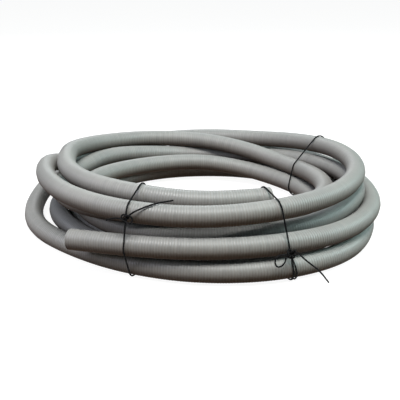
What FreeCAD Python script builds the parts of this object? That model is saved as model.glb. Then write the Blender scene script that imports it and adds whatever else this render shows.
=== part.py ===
import FreeCAD, Part
import math
import os

os.makedirs("parts", exist_ok=True)

# A loose coil of corrugated electrical conduit, lying on the floor and held by three wire ties.
# All lengths are in mm, +Z is up, and the floor is at z = 0.

# Conduit, 3/4 inch trade size. The wall is as thick as the corrugation is deep.
conduit_od = 26.7
conduit_wall = 2.85
conduit_bore = conduit_od - 2 * conduit_wall

# Place of the coil's axis, with the origin under the middle of the whole part
axis_x = 0.64
axis_y = 0.57

# Ties
tie_diameter = 2.0
tie_clearance = 0.3

# How the turns lie. A row is one turn, from the right of the coil (0 degrees) round by the back.
# Each pair is the distance from the coil's centre and the height over the ties, both counted in
# conduit diameters, at the next of 16 stations. Pairs of neighbours stay over one diameter apart.
stations_per_turn = 16
first_station = 11
turn_rows = [
    # front, lowest but one: the run behind the cut end
    [(9.17, 1.59), (9.15, 1.63), (9.28, 1.60), (9.51, 1.56),
     (9.42, 1.51)],
    # right side and back, then up to the top outer turn on the left
    [(9.21, 1.46), (9.26, 1.41), (9.44, 1.30), (9.61, 1.22),
     (9.59, 1.07), (9.24, 1.00), (8.90, 1.49), (8.71, 2.10),
     (8.34, 2.96), (8.40, 3.08), (8.65, 3.10), (8.86, 3.08),
     (8.92, 3.02), (8.94, 3.13), (8.80, 3.17), (8.50, 3.13)],
    # top outer turn, down at the back to the floor outside
    [(8.35, 3.08), (8.50, 2.93), (8.80, 2.62), (8.90, 2.30),
     (9.21, 2.21), (10.10, 1.84), (9.99, 1.31), (9.61, 0.86),
     (9.24, 0.50), (9.03, 0.50), (8.57, 0.50), (8.70, 0.50),
     (9.13, 0.50), (9.53, 0.50), (9.70, 0.50), (9.17, 0.50)],
    # floor, outer turn, moving in at the back
    [(8.85, 0.50), (8.75, 0.50), (8.80, 0.50), (8.86, 0.50),
     (8.73, 0.50), (8.34, 0.50), (8.17, 0.50), (7.99, 0.51),
     (7.83, 0.52), (7.80, 0.50), (7.56, 0.50), (7.65, 0.50),
     (7.82, 0.50), (7.90, 0.50), (7.91, 0.50), (7.86, 0.50)],
    # floor, second turn
    [(7.77, 0.50), (7.71, 0.50), (7.65, 0.50), (7.52, 0.50),
     (7.23, 0.50), (7.13, 0.50), (7.00, 0.50), (6.86, 0.50),
     (6.72, 0.50), (6.59, 0.50), (6.54, 0.51), (6.60, 0.55),
     (6.70, 0.58), (6.76, 0.60), (6.78, 0.60), (6.76, 0.59)],
    # innermost turn, up on the second one at the back
    [(6.71, 0.58), (6.67, 0.55), (6.64, 0.64), (6.53, 0.95),
     (6.43, 1.22), (6.38, 1.25), (6.35, 1.33), (6.36, 1.48),
     (6.54, 1.53), (6.73, 1.53), (6.93, 1.47), (7.29, 1.47),
     (7.69, 1.53), (8.08, 1.64), (8.46, 1.76), (8.58, 2.11)],
    # second layer, under the top inner turn at the back
    [(8.38, 2.05), (8.34, 1.90), (8.33, 1.62), (8.20, 1.32),
     (7.98, 1.18), (7.80, 1.47), (7.89, 1.90), (7.67, 1.80),
     (7.64, 1.94), (7.61, 2.12), (7.55, 2.33), (7.44, 2.51),
     (7.31, 2.52), (7.21, 2.35), (7.09, 2.18), (6.95, 1.99)],
    # top inner turn, to the second cut end at the front right
    [(6.80, 1.80), (6.95, 1.58), (7.18, 1.51), (7.21, 2.02),
     (7.92, 2.28), (8.75, 2.36), (8.80, 2.55), (8.03, 2.96),
     (7.22, 3.32), (7.28, 3.43), (7.50, 3.50), (7.70, 3.52),
     (7.90, 3.38), (7.79, 3.35)],
]
# The first cut end springs clear of the coil at the front left, and the second one runs on a
# little past its last station.
cut_end_angle = 230.9
cut_end_place = (9.80, 1.48)
second_end_angle = 295.3
second_end_place = (8.00, 3.35)

# Arcs of a path, as a share of the shorter run beside them
arc_share = 0.45
# Spacing of the points that find where the conduit passes a tie
look_step = 2.0
# Tolerances that close a solid: the one worked at, the least and the most
closing_tolerances = (1e-4, 1e-4, 1e-3)

# Ties: name, angle round the coil, how far it leans along the coil for each mm that it rises, a
# place outside the knot (distance from the axis and height, in conduit diameters), and the two
# free ends of the wire. An end is a list of offsets from the knot: along the coil, outwards and up.
knot_gap = 3.0
knot_bend = 1.6
upright_height = 55.0
tie_table = [
    ("tie_front_left", 249.8, 0.0, (11.0, 3.47),
     [(2, 4.5, 4), (8, 5, 5), (12, 5, 0), (8, 6, -5), (2, 6, -3), (-5, 5, 0),
      (-14, 4, -1), (-24, 3, -5)],
     [(10.5, 2, 8.7), (31, -12, 17), (49, -28, 18)]),
    ("tie_front_right", 293.5, -0.12, (11.0, 1.7),
     [(-6, 3, 0), (-12, 4, 1), (-19, 5, 2), (-25, 6, -4), (-22, 7, -12), (-15, 7, -12),
      (-10, 6, -7), (-9, 5, -3)],
     [(5, 5, 3), (11, 17, -5), (24, 27, -16), (28, 42, -26)]),
    ("tie_back_right", 31.5, 0.15, (11.5, 2.2),
     [(-5, 3, 1), (-10, 4, 4), (-14, 3, 6)],
     [(5, 3, 3), (12, 5, 3), (18, 5, 2)]),
]


axis_foot = FreeCAD.Vector(axis_x, axis_y, 0)


def direction_at(angle):
    """Level direction of length 1, out from the coil's axis at an angle in degrees."""
    a = math.radians(angle)
    return FreeCAD.Vector(math.cos(a), math.sin(a), 0)


def on_circle(radius, angle, height):
    """Point at a distance from the coil's axis, an angle in degrees and a height."""
    return axis_foot + direction_at(angle) * radius + FreeCAD.Vector(0, 0, height)


def coil_corners():
    """Corners of the conduit's path: the turns' places, pushed out to lie round their arcs."""
    half_step = math.radians(180.0 / stations_per_turn)
    floor_height = tie_diameter + tie_clearance
    radius, level = cut_end_place
    corners = [on_circle(radius * conduit_od, cut_end_angle, level * conduit_od + floor_height)]
    station = first_station
    for row in turn_rows:
        for radius, level in row:
            out = radius * conduit_od / math.cos(half_step)
            angle = station * 360.0 / stations_per_turn
            corners.append(on_circle(out, angle, level * conduit_od + floor_height))
            station += 1
    radius, level = second_end_place
    corners.append(on_circle(radius * conduit_od, second_end_angle,
                             level * conduit_od + floor_height))
    return corners


def rounded_path(corners, fixed_radii=None):
    """Straight runs between corners, joined by tangent arcs. Returns the wire and the radii.

    An arc is as large as its two runs allow, unless fixed_radii gives its corner a radius.
    """
    edges = []
    radii = []
    start = corners[0]
    for i in range(1, len(corners) - 1):
        back = corners[i - 1].sub(corners[i])
        ahead = corners[i + 1].sub(corners[i])
        half_turn = (math.pi - back.getAngle(ahead)) / 2
        radius = arc_share * min(back.Length, ahead.Length) / math.tan(half_turn)
        if fixed_radii and fixed_radii[i]:
            radius = fixed_radii[i]
        reach = radius * math.tan(half_turn)
        back.normalize()
        ahead.normalize()
        into = corners[i] + back * reach
        out = corners[i] + ahead * reach
        bisector = (back + ahead).normalize()
        middle = corners[i] + bisector * (radius / math.cos(half_turn) - radius)
        edges.append(Part.LineSegment(start, into).toShape())
        edges.append(Part.Arc(into, middle, out).toShape())
        radii.append(radius)
        start = out
    edges.append(Part.LineSegment(start, corners[-1]).toShape())
    return Part.Wire(edges), radii


def pipe_wall(path, diameter):
    """Faces of a round tube of one diameter along a path."""
    first = path.Edges[0]
    ring = Part.makeCircle(diameter / 2, first.valueAt(first.FirstParameter),
                           first.tangentAt(first.FirstParameter))
    return path.makePipe(Part.Wire([ring])).Faces


def end_ring(edge, parameter, outside, bore):
    """Flat end face of a tube, a disc with the bore left open if there is one."""
    centre = edge.valueAt(parameter)
    direction = edge.tangentAt(parameter)
    rings = [Part.Wire([Part.makeCircle(d / 2, centre, direction)]) for d in (outside, bore) if d > 0]
    return Part.Face(rings)


def tube(path, outside, bore=0.0):
    """Round tube or rod along an open path, closed by flat ends."""
    first = path.Edges[0]
    last = path.Edges[-1]
    faces = pipe_wall(path, outside)
    if bore > 0:
        faces = faces + pipe_wall(path, bore)
    faces.append(end_ring(first, first.FirstParameter, outside, bore))
    faces.append(end_ring(last, last.LastParameter, outside, bore))
    shell = Part.Shell(faces)
    shell.sewShape()
    solid = Part.Solid(shell)
    solid.fix(*closing_tolerances)
    return solid


def in_tie_plane(angle, lean, distance, height):
    """Point of a tie's plane at a distance from the axis and a height. It leans along the coil."""
    along = direction_at(angle + 90.0) * (lean * (height - upright_height))
    return on_circle(distance, angle, height) + along


def strands_at(path, angle, lean):
    """Places where the conduit passes a tie's plane, as (distance from the axis, height) pairs."""
    sideways = direction_at(angle + 90.0)
    outwards = direction_at(angle)
    points = [p.sub(axis_foot) for p in path.discretize(Distance=look_step)]
    places = []
    for a, b in zip(points, points[1:]):
        before = a.dot(sideways) - lean * (a.z - upright_height)
        after = b.dot(sideways) - lean * (b.z - upright_height)
        if before * after < 0 and a.dot(outwards) > 0:
            crossing = a + (b - a) * (before / (before - after))
            places.append((crossing.dot(outwards), crossing.z))
    return places


def outer_places(places):
    """Corners of the tightest polygon round the places, in order round it (convex hull)."""
    hull = []
    for ordered in (sorted(places), sorted(places, reverse=True)):
        chain = []
        for p in ordered:
            while len(chain) > 1 and side_of(chain[-2], chain[-1], p) <= 0:
                chain.pop()
            chain.append(p)
        hull = hull + chain[:-1]
    return hull


def side_of(a, b, c):
    """Positive where c lies to the left of the line from a to b."""
    return (b[0] - a[0]) * (c[1] - a[1]) - (b[1] - a[1]) * (c[0] - a[0])


def outward_normal(a, b):
    """Unit normal of the side from a to b of a polygon, out of it."""
    length = math.hypot(b[0] - a[0], b[1] - a[1])
    return ((b[1] - a[1]) / length, (a[0] - b[0]) / length)


def belt_corners(hull, reach):
    """Corners of the hull's polygon moved out by the reach, where its tangents meet."""
    corners = []
    for before, here, after in zip(hull[-1:] + hull, hull, hull[1:] + hull[:1]):
        n = outward_normal(before, here)
        m = outward_normal(here, after)
        share = reach / (1 + n[0] * m[0] + n[1] * m[1])
        corners.append((here[0] + (n[0] + m[0]) * share, here[1] + (n[1] + m[1]) * share))
    return corners


def along_side(a, b, place):
    """How far along the side from a to b a place lies, and how far it lies outside it."""
    n = outward_normal(a, b)
    dx = place[0] - a[0]
    dz = place[1] - a[1]
    return dz * n[0] - dx * n[1], dx * n[0] + dz * n[1]


def tie(angle, lean, knot_place, first_end, last_end):
    """One wire: a free end, once tight round all the strands, and the other free end."""
    reach = conduit_od / 2 + tie_clearance + tie_diameter / 2
    ring = belt_corners(outer_places(strands_at(path, angle, lean)), reach)
    place = (knot_place[0] * conduit_od, knot_place[1] * conduit_od)
    outside = [along_side(a, b, place)[1] for a, b in zip(ring, ring[1:] + ring[:1])]
    knot_side = outside.index(max(outside))
    ring = ring[knot_side + 1:] + ring[:knot_side + 1]
    before = ring[-1]
    n = outward_normal(before, ring[0])
    seat = along_side(before, ring[0], place)[0]
    stops = []
    for distance in (seat + knot_gap / 2, seat, seat - knot_gap / 2):
        stops.append(in_tie_plane(angle, lean, before[0] - n[1] * distance,
                                  before[1] + n[0] * distance))
    knot = stops[1]
    ends = []
    for offsets in (first_end, last_end):
        ends.append([knot + direction_at(angle + 90.0) * x + direction_at(angle) * y
                     + FreeCAD.Vector(0, 0, z) for x, y, z in offsets])
    round_coil = [in_tie_plane(angle, lean, r, z) for r, z in ring]
    corners = ends[0][::-1] + [stops[0]] + round_coil + [stops[2]] + ends[1]
    radii = ([None] * len(ends[0]) + [knot_bend] + [reach] * len(ring) + [knot_bend]
             + [None] * len(ends[1]))
    print("knot", [round(v, 1) for v in knot])
    return tube(rounded_path(corners, radii)[0], tie_diameter)


corners = coil_corners()
path, radii = rounded_path(corners)
conduit = tube(path, conduit_od, conduit_bore)
area = math.pi / 4 * (conduit_od ** 2 - conduit_bore ** 2)
print("conduit length", round(path.Length), "bend radii", round(min(radii)), "to", round(max(radii)))
print("volume over section times length", round(conduit.Volume / (area * path.Length), 5))
pieces = {"conduit": conduit}
for name, angle, lean, knot_place, first_end, last_end in tie_table:
    pieces[name] = tie(angle, lean, knot_place, first_end, last_end)
for name, shape in pieces.items():
    box = shape.BoundBox
    print(name, shape.ShapeType, len(shape.Solids), shape.isValid(), round(shape.Volume),
          [round(v, 1) for v in (box.XMin, box.YMin, box.ZMin, box.XMax, box.YMax, box.ZMax)])
    shape.exportStep("parts/" + name + ".step")
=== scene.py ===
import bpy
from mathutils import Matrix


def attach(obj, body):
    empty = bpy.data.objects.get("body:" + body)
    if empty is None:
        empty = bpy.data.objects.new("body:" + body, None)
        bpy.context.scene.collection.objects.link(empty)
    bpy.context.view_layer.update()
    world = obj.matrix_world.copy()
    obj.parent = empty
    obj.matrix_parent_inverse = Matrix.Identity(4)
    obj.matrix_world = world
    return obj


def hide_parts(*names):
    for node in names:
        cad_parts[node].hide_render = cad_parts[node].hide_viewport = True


bl_info = {
    "name": "Corrugated conduit coil",
    "version": (1, 0, 0),
    "blender": (4, 5, 0),
    "location": "3D View > Sidebar > Conduit",
    "description": "A loose coil of grey corrugated conduit held by three wire ties",
    "category": "Object",
}

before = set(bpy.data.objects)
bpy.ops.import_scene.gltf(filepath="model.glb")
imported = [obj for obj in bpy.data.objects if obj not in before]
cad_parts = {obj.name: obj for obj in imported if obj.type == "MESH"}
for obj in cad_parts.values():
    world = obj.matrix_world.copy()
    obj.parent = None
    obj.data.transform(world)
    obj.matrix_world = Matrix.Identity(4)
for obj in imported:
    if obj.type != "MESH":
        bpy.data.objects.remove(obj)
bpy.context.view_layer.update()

import math

import bpy
import numpy as np

# The route of the conduit. A row is one turn, from the right of the coil (0 degrees) round by the
# back, and the first one starts at the first station. Each pair is the distance from the coil's
# axis and the height over the ties, both counted in conduit diameters, at the next station.
STATIONS_PER_TURN = 16
FIRST_STATION = 11
TURN_ROWS = [
    # front, lowest but one: the run behind the lower cut end
    [(9.17, 1.59), (9.15, 1.63), (9.28, 1.60), (9.51, 1.51),
     (9.42, 1.49)],
    # right side and back, then up to the top outer turn on the left
    [(9.21, 1.46), (9.26, 1.43), (9.44, 1.46), (9.61, 1.36),
     (9.59, 1.11), (9.24, 1.00), (8.90, 1.49), (8.71, 2.10),
     (8.34, 2.96), (8.40, 3.08), (8.65, 3.10), (8.86, 3.08),
     (8.92, 3.02), (8.94, 3.13), (8.80, 3.17), (8.50, 3.13)],
    # top outer turn, down at the back to the floor outside
    [(8.35, 3.08), (8.50, 2.93), (8.80, 2.62), (8.90, 2.30),
     (9.21, 2.21), (10.10, 1.84), (9.99, 1.31), (9.61, 0.86),
     (9.24, 0.50), (9.03, 0.50), (8.57, 0.50), (8.70, 0.50),
     (9.13, 0.50), (9.53, 0.50), (9.70, 0.50), (9.17, 0.50)],
    # floor, outer turn, moving in at the back and over a low hump on the left
    [(8.85, 0.50), (8.75, 0.50), (8.80, 0.50), (8.86, 0.50),
     (8.73, 0.50), (8.34, 0.50), (8.17, 0.50), (7.99, 0.58),
     (7.83, 0.70), (7.80, 0.82), (7.60, 0.62), (7.65, 0.52),
     (7.82, 0.50), (7.90, 0.50), (7.91, 0.50), (7.86, 0.50)],
    # floor, second turn
    [(7.77, 0.50), (7.71, 0.50), (7.65, 0.50), (7.52, 0.50),
     (7.23, 0.50), (7.13, 0.50), (7.00, 0.50), (6.91, 0.50),
     (6.84, 0.50), (6.76, 0.50), (6.58, 0.51), (6.60, 0.55),
     (6.70, 0.58), (6.76, 0.60), (6.78, 0.60), (6.76, 0.59)],
    # innermost turn, up on the second one at the back
    [(6.71, 0.58), (6.67, 0.55), (6.64, 0.64), (6.53, 0.95),
     (6.43, 1.22), (6.38, 1.25), (6.35, 1.33), (6.36, 1.48),
     (6.54, 1.53), (6.73, 1.53), (6.93, 1.47), (7.29, 1.47),
     (7.69, 1.57), (8.08, 1.71), (8.46, 1.78), (8.58, 2.11)],
    # second layer, under the top inner turn at the back
    [(8.38, 2.02), (8.34, 1.80), (8.33, 1.60), (8.20, 1.32),
     (7.98, 1.20), (7.80, 1.57), (7.89, 1.90), (7.67, 1.80),
     (7.64, 1.90), (7.61, 2.02), (7.55, 2.28), (7.44, 2.51),
     (7.31, 2.52), (7.21, 2.35), (7.09, 2.18), (6.95, 1.99)],
    # top inner turn, to the upper cut end at the front right
    [(6.80, 1.80), (6.95, 1.58), (7.18, 1.51), (7.21, 2.02),
     (7.92, 2.28), (8.75, 2.36), (8.80, 2.55), (8.03, 2.96),
     (7.22, 3.32), (7.28, 3.43), (7.50, 3.50), (7.70, 3.52),
     (7.90, 3.38), (7.79, 3.35)],
]
# The two cut ends: the angle round the coil in degrees, and a pair as in the rows.
LOWER_END_ANGLE = 232.1
LOWER_END = (9.74, 1.49)
UPPER_END_ANGLE = 293.9
UPPER_END = (7.95, 3.36)
# Where the coil's axis meets the floor, in metres.
COIL_AXIS = (0.00064, 0.00057, 0.0)
# Points of the smooth line from one control point to the next, and points of the cord's path.
LINE_STEPS = 64
# How far before and after a ring the line's direction is read, in metres.
CONDUIT_REACH = 0.004
WIRE_REACH = 0.0005

TIE_NODES = ("tie_front_left", "tie_front_right", "tie_back_right")
WIRE_SIDES = 8

# The knots of the ties: where each one sits on its tie, the angle round the coil that it faces in
# degrees, and the size of its bends in metres.
KNOTS = (
    ("knot_front_left", (-0.0866, -0.2365, 0.0822), 249.8, 0.0016),
    ("knot_front_right", (0.1080, -0.2417, 0.0394), 293.5, 0.0021),
    ("knot_back_right", (0.2285, 0.1373, 0.0384), 31.5, 0.0014),
)
KNOT_RINGS = 96

# The second wire at the front right, from the knot down round the lowest turn. Each corner is its
# distance from the coil's axis, its distance along the coil from the angle, and its height, in
# metres.
SECOND_WIRE_ANGLE = 293.5
SECOND_WIRE = (
    (0.2650, 0.0019, 0.0394), (0.2657, 0.0033, 0.0340), (0.2680, 0.0070, 0.0240),
    (0.2703, 0.0091, 0.0147), (0.2670, 0.0101, 0.0061), (0.2595, 0.0107, 0.00105),
    (0.2500, 0.0107, 0.00105),
)
SECOND_WIRE_RINGS = 60

# The UV map of the conduit: the share of a turn round it, and the count of ribs along it.
WRAP = "wrap"
FULL_TURN = 2 * math.pi
# A Mix node has sockets for every type of value. These are the places of its colours.
MIX_FIRST = 6
MIX_SECOND = 7
MIX_RESULT = 2
NOISE_ROUGHNESS = 0.55
# The tone of the plastic: its darkest, and how far it rises along the conduit and from rib to rib.
DARKEST_TONE = 0.84
TONE_ALONG = 0.14
TONE_OF_RIBS = 0.20
# How much each mark adds to the roughness of the plastic.
DUST_DULLS = 0.12
GROOVES_DULL = 0.08
RIBS_DULL = 0.08
UNDERSIDE_DULLS = 0.60
# How much wear adds to the colour and the roughness of the ties' coating.
WEAR_PALES = 0.4
WEAR_DULLS = 0.20

# The stage. Each light has its place, the point that it faces, its width and height in metres, and
# its colour. Its power is in the stage's settings under the same name.
LIGHTS = (
    ("top_light", (0.05, -0.80, 1.85), (0.0, 0.0, 0.0), 1.0, 0.8, (1.0, 0.99, 0.97)),
    ("right_light", (1.7, 0.0, 0.95), (0.0, 0.0, 0.05), 0.9, 0.7, (0.74, 0.98, 0.97)),
    ("left_light", (-1.7, -0.5, 1.0), (0.0, 0.0, 0.05), 1.2, 1.0, (0.88, 0.88, 1.0)),
    ("back_light", (-0.3, 1.7, 1.3), (0.0, 0.0, 0.05), 1.2, 1.0, (0.95, 0.98, 1.0)),
)
FLOOR_COLOUR = (0.24, 0.235, 0.23)
FLOOR_GLOW = 0.93
SKY_COLOUR = (0.70, 0.96, 1.0)
SKY_STRENGTH = 0.10
WHITE = (1.0, 1.0, 1.0)
# The camera's place in metres, how far below level it looks in degrees, and its sensor in mm.
CAMERA_PLACE = (0.00064, -1.05833, 0.3820)
CAMERA_DOWN = 18.7
SENSOR_WIDTH = 36.0


class ConduitSizes(bpy.types.PropertyGroup):
    diameter: bpy.props.FloatProperty(
        name="Diameter", description="Outside diameter over the ribs",
        default=0.0267, min=0.01, max=0.1, unit="LENGTH")
    bore: bpy.props.FloatProperty(
        name="Bore", description="Clear diameter inside the ribs",
        default=0.021, min=0.005, max=0.09, unit="LENGTH")
    floor_gap: bpy.props.FloatProperty(
        name="Height on the ties", description="How far the wire ties hold the conduit off the floor",
        default=0.0023, min=0.0, max=0.01, unit="LENGTH")
    ribs: bpy.props.IntProperty(
        name="Ribs", description="Number of ribs over the whole length",
        default=2880, min=10, max=4000)
    rib_depth: bpy.props.FloatProperty(
        name="Rib depth", description="How far the grooves lie under the tops of the ribs",
        default=0.00026, min=0.0, max=0.004, unit="LENGTH")
    sides: bpy.props.IntProperty(
        name="Sides", description="Number of facets round the conduit",
        default=16, min=8, max=64)
    bore_ribs: bpy.props.IntProperty(
        name="Ribs in the bore", description="Number of ribs that are modelled inside each cut end",
        default=18, min=1, max=60)
    tie_wire: bpy.props.FloatProperty(
        name="Tie wire", description="Diameter of the coated wire that the ties are made of",
        default=0.002, min=0.0005, max=0.01, unit="LENGTH")


class ConduitColours(bpy.types.PropertyGroup):
    plastic: bpy.props.FloatVectorProperty(
        name="Plastic", description="Grey of the conduit's ribs",
        default=(0.265, 0.27, 0.262), min=0.0, max=1.0, size=3, subtype="COLOR")
    # painted shade: a darker grey that darkens the grooves as their shade would
    groove: bpy.props.FloatVectorProperty(
        name="Groove", description="Grey in the grooves, with the dust that lies in them",
        default=(0.21, 0.205, 0.192), min=0.0, max=1.0, size=3, subtype="COLOR")
    # painted shade: a brown darkening of the side that faces the floor, standing for its shade and
    # the warm floor bounce on it
    painted_shade: bpy.props.FloatVectorProperty(
        name="Painted shade", description="Brown grime on the side that faces the floor",
        default=(0.058, 0.034, 0.02), min=0.0, max=1.0, size=3, subtype="COLOR")
    dust: bpy.props.FloatVectorProperty(
        name="Dust", description="Pale brown dust in patches along the conduit",
        default=(0.31, 0.305, 0.285), min=0.0, max=1.0, size=3, subtype="COLOR")
    patch_cover: bpy.props.FloatProperty(
        name="Cover of the patches", description="How thickly the dust covers its patches",
        default=0.35, min=0.0, max=1.0, subtype="FACTOR")
    speck_cover: bpy.props.FloatProperty(
        name="Cover of the specks", description="How thickly the dust covers its specks",
        default=0.12, min=0.0, max=1.0, subtype="FACTOR")
    painted_shade_cover: bpy.props.FloatProperty(
        name="Cover of the grime", description="How thickly the grime covers the underside",
        default=0.90, min=0.0, max=1.0, subtype="FACTOR")
    plastic_roughness: bpy.props.FloatProperty(
        name="Roughness of the plastic", description="Roughness of a clean rib's top",
        default=0.32, min=0.0, max=1.0, subtype="FACTOR")
    tie: bpy.props.FloatVectorProperty(
        name="Tie", description="Black coating of the wire ties",
        default=(0.006, 0.006, 0.0065), min=0.0, max=1.0, size=3, subtype="COLOR")
    worn_tie: bpy.props.FloatVectorProperty(
        name="Worn tie", description="Dark grey of the ties' coating where it is worn",
        default=(0.031, 0.031, 0.03275), min=0.0, max=1.0, size=3, subtype="COLOR")
    tie_roughness: bpy.props.FloatProperty(
        name="Roughness of the ties", description="Roughness of the coating where it isn't worn",
        default=0.66, min=0.0, max=1.0, subtype="FACTOR")


class StageSettings(bpy.types.PropertyGroup):
    floor_width: bpy.props.FloatProperty(
        name="Floor width", description="Width of the square floor",
        default=12.0, min=2.0, max=50.0, unit="LENGTH")
    floor_bounce: bpy.props.FloatVectorProperty(
        name="Floor bounce", description="Warm brown that the floor throws up on the undersides",
        default=(0.10, 0.05, 0.016), min=0.0, max=1.0, size=3, subtype="COLOR")
    top_light: bpy.props.FloatProperty(
        name="Top light", description="Power of the large soft light above, in watts",
        default=47.0, min=0.0, max=500.0)
    right_light: bpy.props.FloatProperty(
        name="Right light", description="Power of the cool soft light on the right, in watts",
        default=23.0, min=0.0, max=500.0)
    left_light: bpy.props.FloatProperty(
        name="Left light", description="Power of the soft light on the left, in watts",
        default=19.0, min=0.0, max=500.0)
    back_light: bpy.props.FloatProperty(
        name="Back light", description="Power of the soft light behind the coil, in watts",
        default=12.0, min=0.0, max=500.0)
    camera_focal: bpy.props.FloatProperty(
        name="Focal length", description="Focal length on a sensor 36 mm wide, in mm",
        default=67.05, min=10.0, max=300.0)


class Value:
    """An output of a node, which takes part in sums and products as a number does."""

    def __init__(self, finish, socket):
        self.finish = finish
        self.socket = socket

    def output(self, name):
        """Another output of the same node, by its name or its place."""
        return Value(self.finish, self.socket.node.outputs[name])

    def work(self, operation, *values):
        """Result of a Math node's operation on the values."""
        return self.finish.add("ShaderNodeMath", {"operation": operation}, dict(enumerate(values)))

    def __add__(self, other):
        return self.work("ADD", self, other)

    def __radd__(self, other):
        return self.work("ADD", other, self)

    def __sub__(self, other):
        return self.work("SUBTRACT", self, other)

    def __rsub__(self, other):
        return self.work("SUBTRACT", other, self)

    def __mul__(self, other):
        return self.work("MULTIPLY", self, other)

    def __rmul__(self, other):
        return self.work("MULTIPLY", other, self)

    def cosine(self):
        return self.work("COSINE", self)

    def or_larger(self, other):
        """The larger one of two values."""
        return self.work("MAXIMUM", self, other)

    def clipped(self, low, high):
        """The value scaled so that low becomes 0 and high becomes 1, and held between them."""
        return self.finish.add("ShaderNodeMapRange", {"clamp": True},
                               {"Value": self, "From Min": low, "From Max": high})


class Finish:
    """The node tree of a material or of the world, which nodes are added to."""

    def __init__(self, tree):
        self.tree = tree

    def feed(self, node, inputs):
        """Gives a node's inputs, by name or place, their numbers, colours or links."""
        for name, value in inputs.items():
            place = node.inputs[name]
            if isinstance(value, Value):
                self.tree.links.new(value.socket, place)
            elif place.type == "RGBA":
                place.default_value = (*value, 1.0)
            else:
                place.default_value = value

    def add(self, kind, settings, inputs):
        """Adds a node of a kind, with its settings first and then its inputs, and returns its
        first output."""
        node = self.tree.nodes.new(kind)
        for name, value in settings.items():
            setattr(node, name, value)
        self.feed(node, inputs)
        return Value(self, node.outputs[0])

    def noise(self, place, scale, detail):
        """Noise from 0 to 1 at a place, with about scale spots to each metre or unit of it."""
        return self.add("ShaderNodeTexNoise", {}, {"Vector": place, "Scale": scale,
                                                   "Detail": detail, "Roughness": NOISE_ROUGHNESS})

    def mixed(self, share, first, second):
        """Colour that goes from the first to the second as the share goes from 0 to 1."""
        return self.add("ShaderNodeMix", {"data_type": "RGBA"},
                        {"Factor": share, MIX_FIRST: first, MIX_SECOND: second}).output(MIX_RESULT)

    def bumps(self, height, strength, depth):
        """Normal of a surface with bumps of a depth in metres where the height goes from 0 to 1."""
        return self.add("ShaderNodeBump", {},
                        {"Height": height, "Strength": strength, "Distance": depth})


def new_material(name):
    """A new material, its finish and its Principled shader."""
    material = bpy.data.materials.new(name)
    material.use_nodes = True
    tree = material.node_tree
    return material, Finish(tree), tree.nodes["Principled BSDF"]


def conduit_plastic(colours):
    """Satin grey plastic: paler on the ribs' tops, darker with painted shade and dusty in the
    grooves, and brown with painted shade on the side that faces the floor.
    """
    material, finish, shader = new_material("conduit_plastic")
    spot = finish.add("ShaderNodeTexCoord", {}, {}).output("Object")
    wrap = finish.add("ShaderNodeUVMap", {"uv_map": WRAP}, {})
    parts = finish.add("ShaderNodeSeparateXYZ", {}, {"Vector": wrap})
    # 1 where the conduit faces the floor, a quarter turn before the map's seam, and 0 where it
    # faces up
    underside = 0.5 - 0.5 * ((parts.output("X") - 0.25) * FULL_TURN).cosine()
    # 0 on a rib's top and 1 at the bottom of a groove
    groove = 0.5 - 0.5 * (parts.output("Y") * FULL_TURN).cosine()
    patches = finish.noise(spot, scale=9.0, detail=3.0).clipped(0.42, 0.66)
    specks = finish.noise(spot, scale=420.0, detail=2.0).clipped(0.50, 0.72)
    grain = finish.noise(spot, scale=1500.0, detail=2.0)
    tone = finish.noise(spot, scale=24.0, detail=2.0)
    # no two ribs quite the same, nor one rib all the way round
    uneven = finish.noise(wrap, scale=0.6, detail=3.0).clipped(0.32, 0.68)

    # painted shade: the grooves are darker than the ribs' tops, deeper on some ribs than on others
    ribbed = finish.mixed(groove * (0.3 + uneven * 0.7), colours.plastic, colours.groove)
    # the dust lies thickest in the grooves
    dust = (patches * colours.patch_cover + specks * colours.speck_cover) * (0.65 + groove * 0.5)
    dusty = finish.mixed(dust, ribbed, colours.dust)
    # painted shade: brown darkening towards the side that faces the floor, standing for the shade
    # there and the warm floor bounce
    with_painted_shade = finish.mixed(underside.clipped(0.15, 0.85) * colours.painted_shade_cover, dusty, colours.painted_shade)
    brightness = DARKEST_TONE + tone * TONE_ALONG + uneven * TONE_OF_RIBS
    toned = finish.add("ShaderNodeHueSaturation", {}, {"Color": with_painted_shade, "Value": brightness})
    # dust, grooves and above all the underside take the plastic's sheen away
    roughness = (colours.plastic_roughness + patches * DUST_DULLS + groove * GROOVES_DULL
                 + uneven * RIBS_DULL + underside.clipped(0.30, 0.80) * UNDERSIDE_DULLS)
    finish.feed(shader, {
        "Base Color": toned, "Roughness": roughness, "IOR": 1.49, "Specular IOR Level": 0.45,
        "Normal": finish.bumps(grain * 0.5 + specks * 0.5, strength=0.12, depth=0.0004)})
    return material


def tie_coating(colours):
    """Black plastic coating of the wire, a little worn and dusty."""
    material, finish, shader = new_material("tie_coating")
    spot = finish.add("ShaderNodeTexCoord", {}, {}).output("Object")
    wear = finish.noise(spot, scale=300.0, detail=3.0).clipped(0.52, 0.74)
    grain = finish.noise(spot, scale=1800.0, detail=2.0)
    finish.feed(shader, {
        "Base Color": finish.mixed(wear * WEAR_PALES, colours.tie, colours.worn_tie),
        "Roughness": colours.tie_roughness + wear * WEAR_DULLS, "Specular IOR Level": 0.08,
        "Normal": finish.bumps(grain, strength=0.15, depth=0.0003)})
    return material


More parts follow.
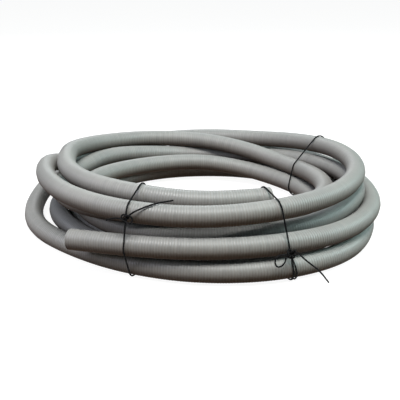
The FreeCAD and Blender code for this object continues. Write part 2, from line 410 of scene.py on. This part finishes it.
def route_corners(diameter, floor_gap):
    """Control points of the route.

    A station's point stands at its angle, its distance times the diameter over the cosine of half
    a step away from the axis, and its level times the diameter above the ties. A cut end's point
    stands at its own angle and distance.
    """
    chart = np.array([pair for row in TURN_ROWS for pair in row])
    step = FULL_TURN / STATIONS_PER_TURN
    angle = (FIRST_STATION + np.arange(len(chart))) * step
    distance = chart[:, 0] * diameter / math.cos(step / 2)
    angle = np.concatenate(([math.radians(LOWER_END_ANGLE)], angle,
                            [math.radians(UPPER_END_ANGLE)]))
    distance = np.concatenate(([LOWER_END[0] * diameter], distance, [UPPER_END[0] * diameter]))
    level = np.concatenate(([LOWER_END[1]], chart[:, 1], [UPPER_END[1]]))
    return np.stack([COIL_AXIS[0] + distance * np.cos(angle),
                     COIL_AXIS[1] + distance * np.sin(angle),
                     level * diameter + floor_gap], axis=1)


def smooth_line(corners):
    """Points close together on the smooth curve that has the corners as its control points."""
    curve = bpy.data.curves.new("route", "CURVE")
    curve.dimensions = "3D"
    curve.resolution_u = LINE_STEPS
    spline = curve.splines.new("NURBS")
    spline.points.add(len(corners) - 1)
    weighted = np.concatenate((corners, np.ones((len(corners), 1))), axis=1)
    spline.points.foreach_set("co", weighted.ravel())
    spline.order_u = 3
    spline.use_endpoint_u = True
    holder = bpy.data.objects.new("route", curve)
    mesh = bpy.data.meshes.new_from_object(holder)
    line = np.empty(len(mesh.vertices) * 3)
    mesh.vertices.foreach_get("co", line)
    bpy.data.meshes.remove(mesh)
    bpy.data.objects.remove(holder)
    bpy.data.curves.remove(curve)
    return line.reshape(-1, 3)


def travelled(line):
    """Distance along the line to each of its points."""
    steps = np.linalg.norm(np.diff(line, axis=0), axis=1)
    return np.concatenate(([0.0], np.cumsum(steps)))


def places_along(line, distances):
    """Points of the line at distances along it."""
    marks = travelled(line)
    return np.stack([np.interp(distances, marks, line[:, axis]) for axis in range(3)], axis=1)


def directions_along(line, distances, reach):
    """Directions of the line: the chord from the reach before each distance to the reach after."""
    return places_along(line, distances + reach) - places_along(line, distances - reach)


def axes_at(angle):
    """Unit vectors at an angle round the coil: away from its axis, along the coil, and up."""
    outwards = (math.cos(math.radians(angle)), math.sin(math.radians(angle)), 0.0)
    along = (-outwards[1], outwards[0], 0.0)
    return np.array((outwards, along, (0.0, 0.0, 1.0)))


def rings_round(centre, ahead, reference, radii, sides):
    """Circles round the points of a line, as an array of rings, points and coordinates.

    Side is square to the line's direction and to the reference, and up is square to side and to
    the direction. Each point is its ring's centre plus side times the cosine of the point's angle
    and up times its sine, both times the ring's radius.
    """
    ahead = ahead / np.linalg.norm(ahead, axis=1, keepdims=True)
    side = np.cross(ahead, reference)
    side /= np.linalg.norm(side, axis=1, keepdims=True)
    up = np.cross(side, ahead)
    angle = np.arange(sides) * FULL_TURN / sides
    return (centre[:, None, :]
            + (radii[:, None] * np.cos(angle))[:, :, None] * side[:, None, :]
            + (radii[:, None] * np.sin(angle))[:, :, None] * up[:, None, :])


def ring_quads(ring_count, sides, closed=False):
    """Quads from each ring to the next one, and if closed from the last to the first.

    A quad goes from its point to the same point of the next ring, on to the following point there
    and back to the following point of its own ring. A point's number is its ring times the sides
    plus its place in the ring.
    """
    rows = ring_count if closed else ring_count - 1
    ring, point = np.meshgrid(np.arange(rows), np.arange(sides), indexing="ij")
    next_ring = (ring + 1) % ring_count
    next_point = (point + 1) % sides
    return np.stack((ring * sides + point, next_ring * sides + point,
                     next_ring * sides + next_point, ring * sides + next_point), axis=-1)


def new_mesh(name, points, faces):
    """Smooth mesh of an array of points and a list of faces."""
    mesh = bpy.data.meshes.new(name)
    mesh.from_pydata(points.tolist(), [], faces, shade_flat=False)
    return mesh


def conduit_profile(length, sizes):
    """Distance along, radius and rib count of every ring, from deep in one bore to the other.

    The wall's section goes up and down in a zigzag, a top at each whole rib and a groove halfway
    between. It starts at the bottom of the first bore, comes out to the cut end, runs along the
    outside, turns in at the second cut end and goes down the second bore.
    """
    pitch = length / sizes.ribs
    half_ribs = np.arange(2 * sizes.ribs + 1)
    outside_at = half_ribs * pitch / 2
    outside = sizes.diameter / 2 - sizes.rib_depth * (half_ribs % 2)
    inner_ribs = np.arange(2 * sizes.bore_ribs, -1, -1)
    inner_at = inner_ribs * pitch / 2
    inner = sizes.bore / 2 + sizes.rib_depth * (inner_ribs % 2 == 0)
    distances = np.concatenate((inner_at, outside_at, length - inner_at[::-1]))
    radii = np.concatenate((inner, outside, inner[::-1]))
    counts = np.concatenate((inner_ribs, half_ribs, 2 * sizes.ribs - inner_ribs[::-1])) / 2
    return distances, radii, counts


def conduit_mesh(line, sizes):
    """Closed ribbed tube: quads join the rings of the profile, and a fan of triangles round the
    line's point closes the bottom of each bore."""
    distances, radii, counts = conduit_profile(travelled(line)[-1], sizes)
    sides = sizes.sides
    centre = places_along(line, distances)
    rings = rings_round(centre, directions_along(line, distances, CONDUIT_REACH),
                        (0.0, 0.0, 1.0), radii, sides)
    quads = ring_quads(len(rings), sides)
    # The two middles of the fans come after the points of the rings.
    middle = len(rings) * sides
    rim = np.stack((np.arange(sides), (np.arange(sides) + 1) % sides), axis=1)
    first_fan = np.insert(rim, 0, middle, axis=1)
    last_fan = np.insert(rim[:, ::-1] + middle - sides, 0, middle + 1, axis=1)
    mesh = new_mesh("conduit_ribbed", np.concatenate((rings.reshape(-1, 3), centre[[0, -1]])),
                    quads.reshape(-1, 4).tolist() + first_fan.tolist() + last_fan.tolist())

    # Round the conduit the map goes on to a full turn at its seam. The fans take a groove's painted
    # shade and half the underside's painted shade.
    turn = (np.arange(sides)[:, None] + np.array((0, 0, 1, 1))) / sides
    quad_wrap = np.stack((np.broadcast_to(turn, quads.shape), counts[quads // sides]), axis=-1)
    fan_wrap = np.broadcast_to((0.0, 0.5), (first_fan.size + last_fan.size, 2))
    wrap = np.concatenate((quad_wrap.reshape(-1, 2), fan_wrap))
    mesh.uv_layers.new(name=WRAP).data.foreach_set("uv", wrap.ravel())

    # The edges of a ring are sharp, so that each flank of a rib catches the light by itself.
    ends = np.empty(2 * len(mesh.edges), dtype=np.int32)
    mesh.edges.foreach_get("vertices", ends)
    ring_of = ends.reshape(-1, 2) // sides
    sharp = mesh.attributes.new("sharp_edge", "BOOLEAN", "EDGE")
    sharp.data.foreach_set("value", ring_of[:, 0] == ring_of[:, 1])
    return mesh


def knot_mesh(name, place, facing, size, wire):
    """Closed tube of the wire round the line of an overhand knot.

    The line goes 1 - sin 3t outwards, sin t + 2 sin 2t along the coil and cos t - 2 cos 2t up, all
    times the knot's size, and its direction is the slope of these.
    """
    axes = axes_at(facing)
    turn = np.arange(KNOT_RINGS) * FULL_TURN / KNOT_RINGS
    line = np.stack((1.0 - np.sin(3 * turn),
                     np.sin(turn) + 2 * np.sin(2 * turn),
                     np.cos(turn) - 2 * np.cos(2 * turn)), axis=1) * size
    slope = np.stack((-3 * np.cos(3 * turn),
                      np.cos(turn) + 4 * np.cos(2 * turn),
                      4 * np.sin(2 * turn) - np.sin(turn)), axis=1)
    rings = rings_round(np.array(place) + line @ axes, slope @ axes, axes[0],
                        np.full(KNOT_RINGS, wire / 2), WIRE_SIDES)
    quads = ring_quads(KNOT_RINGS, WIRE_SIDES, closed=True)
    return new_mesh(name, rings.reshape(-1, 3), quads.reshape(-1, 4).tolist())


def second_wire_mesh(wire):
    """Round wire with closed ends along the smooth line of the second wire's corners.

    A corner stands at its distance from the axis, moved along the coil, and at its height.
    """
    axes = axes_at(SECOND_WIRE_ANGLE)
    line = smooth_line(np.array(COIL_AXIS) + np.array(SECOND_WIRE) @ axes)
    distances = np.linspace(0.0, travelled(line)[-1], SECOND_WIRE_RINGS)
    rings = rings_round(places_along(line, distances),
                        directions_along(line, distances, WIRE_REACH), axes[1],
                        np.full(SECOND_WIRE_RINGS, wire / 2), WIRE_SIDES)
    quads = ring_quads(SECOND_WIRE_RINGS, WIRE_SIDES)
    points = np.arange(SECOND_WIRE_RINGS * WIRE_SIDES)
    ends = [points[:WIRE_SIDES].tolist(), points[-WIRE_SIDES:][::-1].tolist()]
    return new_mesh("wire_front_right", rings.reshape(-1, 3),
                    quads.reshape(-1, 4).tolist() + ends)


def place_on(body, mesh, material):
    """New object for a mesh, at the origin, riding on a body."""
    mesh.materials.append(material)
    piece = bpy.data.objects.new(mesh.name, mesh)
    bpy.context.scene.collection.objects.link(piece)
    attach(piece, body)
    return piece


class OBJECT_OT_conduit_coil(bpy.types.Operator):
    bl_idname = "object.conduit_coil"
    bl_label = "Conduit"

    def execute(self, context):
        sizes = context.scene.conduit_sizes
        corners = route_corners(sizes.diameter, sizes.floor_gap)
        line = smooth_line(corners)
        if len(line) < len(corners):
            raise RuntimeError("the conduit's route has too few points")
        conduit = place_on("root", conduit_mesh(line, sizes),
                           conduit_plastic(context.scene.conduit_colours))
        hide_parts("conduit")
        return {"FINISHED"}


class OBJECT_OT_wire_ties(bpy.types.Operator):
    """Gives the three wire ties their black coating, and adds their knots and the second wire"""
    bl_idname = "object.wire_ties"
    bl_label = "Wire ties"

    def execute(self, context):
        coating = tie_coating(context.scene.conduit_colours)
        for name in TIE_NODES:
            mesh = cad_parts[name].data
            if not mesh.materials:
                raise RuntimeError("a tie has no material slot")
            for place in range(len(mesh.materials)):
                mesh.materials[place] = coating
        wire = context.scene.conduit_sizes.tie_wire
        for name, place, facing, size in KNOTS:
            knot = place_on("root", knot_mesh(name, place, facing, size, wire), coating)
        second = place_on("root", second_wire_mesh(wire), coating)
        return {"FINISHED"}


def soft_light(name, location, target, width, height, colour, power):
    """Rectangular lamp that faces a point."""
    lamp = bpy.data.lights.new(name, "AREA")
    lamp.shape = "RECTANGLE"
    lamp.size = width
    lamp.size_y = height
    lamp.energy = power
    lamp.color = colour
    light = bpy.data.objects.new(name, lamp)
    bpy.context.scene.collection.objects.link(light)
    light.location = location
    away = np.array(location) - np.array(target)
    level = math.hypot(away[0], away[1])
    light.rotation_euler = (math.atan2(level, away[2]), 0.0, math.atan2(away[0], -away[1]))


def floor_material(bounce):
    """White to the eye with the coil's soft shadow, and warm brown to the light that it throws up.

    The eye is the camera, also in a mirror or through glass.
    """
    material, finish, shader = new_material("floor_white")
    finish.tree.nodes.remove(shader)
    rays = finish.add("ShaderNodeLightPath", {}, {})
    eye = (rays.output("Is Camera Ray").or_larger(rays.output("Is Glossy Ray"))
           .or_larger(rays.output("Is Transmission Ray")))
    shaded = finish.add("ShaderNodeBsdfDiffuse", {}, {"Color": FLOOR_COLOUR})
    glow = finish.add("ShaderNodeEmission", {}, {"Strength": FLOOR_GLOW})
    white = finish.add("ShaderNodeAddShader", {}, {0: shaded, 1: glow})
    warm = finish.add("ShaderNodeBsdfDiffuse", {}, {"Color": bounce})
    surface = finish.add("ShaderNodeMixShader", {}, {0: eye, 1: warm, 2: white})
    finish.feed(finish.tree.nodes["Material Output"], {"Surface": surface})
    return material


def studio_world():
    """White behind the object to the eye, and a plain pale sky to the light."""
    world = bpy.data.worlds.new("studio")
    world.use_nodes = True
    finish = Finish(world.node_tree)
    sky = finish.tree.nodes["Background"]
    finish.feed(sky, {"Color": SKY_COLOUR, "Strength": SKY_STRENGTH})
    white = finish.add("ShaderNodeBackground", {}, {"Color": WHITE, "Strength": 1.0})
    eye = finish.add("ShaderNodeLightPath", {}, {}).output("Is Camera Ray")
    surface = finish.add("ShaderNodeMixShader", {},
                         {0: eye, 1: Value(finish, sky.outputs[0]), 2: white})
    finish.feed(finish.tree.nodes["World Output"], {"Surface": surface})
    return world


class OBJECT_OT_conduit_stage(bpy.types.Operator):
    """Sets up the floor, the studio light and the camera"""
    bl_idname = "object.conduit_stage"
    bl_label = "Stage"

    def execute(self, context):
        scene = context.scene
        settings = scene.conduit_stage
        half = settings.floor_width / 2
        corners = np.array(((-half, -half, 0), (half, -half, 0), (half, half, 0), (-half, half, 0)))
        mesh = new_mesh("floor", corners, [(0, 1, 2, 3)])
        mesh.materials.append(floor_material(settings.floor_bounce))
        floor = bpy.data.objects.new("floor", mesh)
        scene.collection.objects.link(floor)
        for light in LIGHTS:
            soft_light(*light, power=getattr(settings, light[0]))
        scene.world = studio_world()
        scene.view_settings.view_transform = "Standard"
        lens = bpy.data.cameras.new("camera")
        lens.lens = settings.camera_focal
        lens.sensor_width = SENSOR_WIDTH
        camera = bpy.data.objects.new("camera", lens)
        scene.collection.objects.link(camera)
        camera.location = CAMERA_PLACE
        camera.rotation_euler = (math.radians(90.0 - CAMERA_DOWN), 0.0, 0.0)
        scene.camera = camera
        return {"FINISHED"}


class VIEW3D_PT_conduit(bpy.types.Panel):
    """Sizes, colours and steps of the conduit coil"""
    bl_label = "Conduit coil"
    bl_idname = "VIEW3D_PT_conduit"
    bl_space_type = "VIEW_3D"
    bl_region_type = "UI"
    bl_category = "Conduit"

    def draw(self, context):
        layout = self.layout
        for group in (context.scene.conduit_sizes, context.scene.conduit_colours,
                      context.scene.conduit_stage):
            box = layout.box()
            for name in group.__annotations__:
                box.prop(group, name)
        for step in (OBJECT_OT_conduit_coil, OBJECT_OT_wire_ties, OBJECT_OT_conduit_stage):
            layout.operator(step.bl_idname)


CLASSES = (ConduitSizes, ConduitColours, StageSettings, OBJECT_OT_conduit_coil,
           OBJECT_OT_wire_ties, OBJECT_OT_conduit_stage, VIEW3D_PT_conduit)


def register():
    for kind in CLASSES:
        bpy.utils.register_class(kind)
    bpy.types.Scene.conduit_sizes = bpy.props.PointerProperty(type=ConduitSizes)
    bpy.types.Scene.conduit_colours = bpy.props.PointerProperty(type=ConduitColours)
    bpy.types.Scene.conduit_stage = bpy.props.PointerProperty(type=StageSettings)


def unregister():
    del bpy.types.Scene.conduit_stage
    del bpy.types.Scene.conduit_colours
    del bpy.types.Scene.conduit_sizes
    for kind in reversed(CLASSES):
        bpy.utils.unregister_class(kind)


def main():
    register()
    bpy.ops.object.conduit_coil()
    bpy.ops.object.wire_ties()
    bpy.ops.object.conduit_stage()


if __name__ == "__main__":
    main()
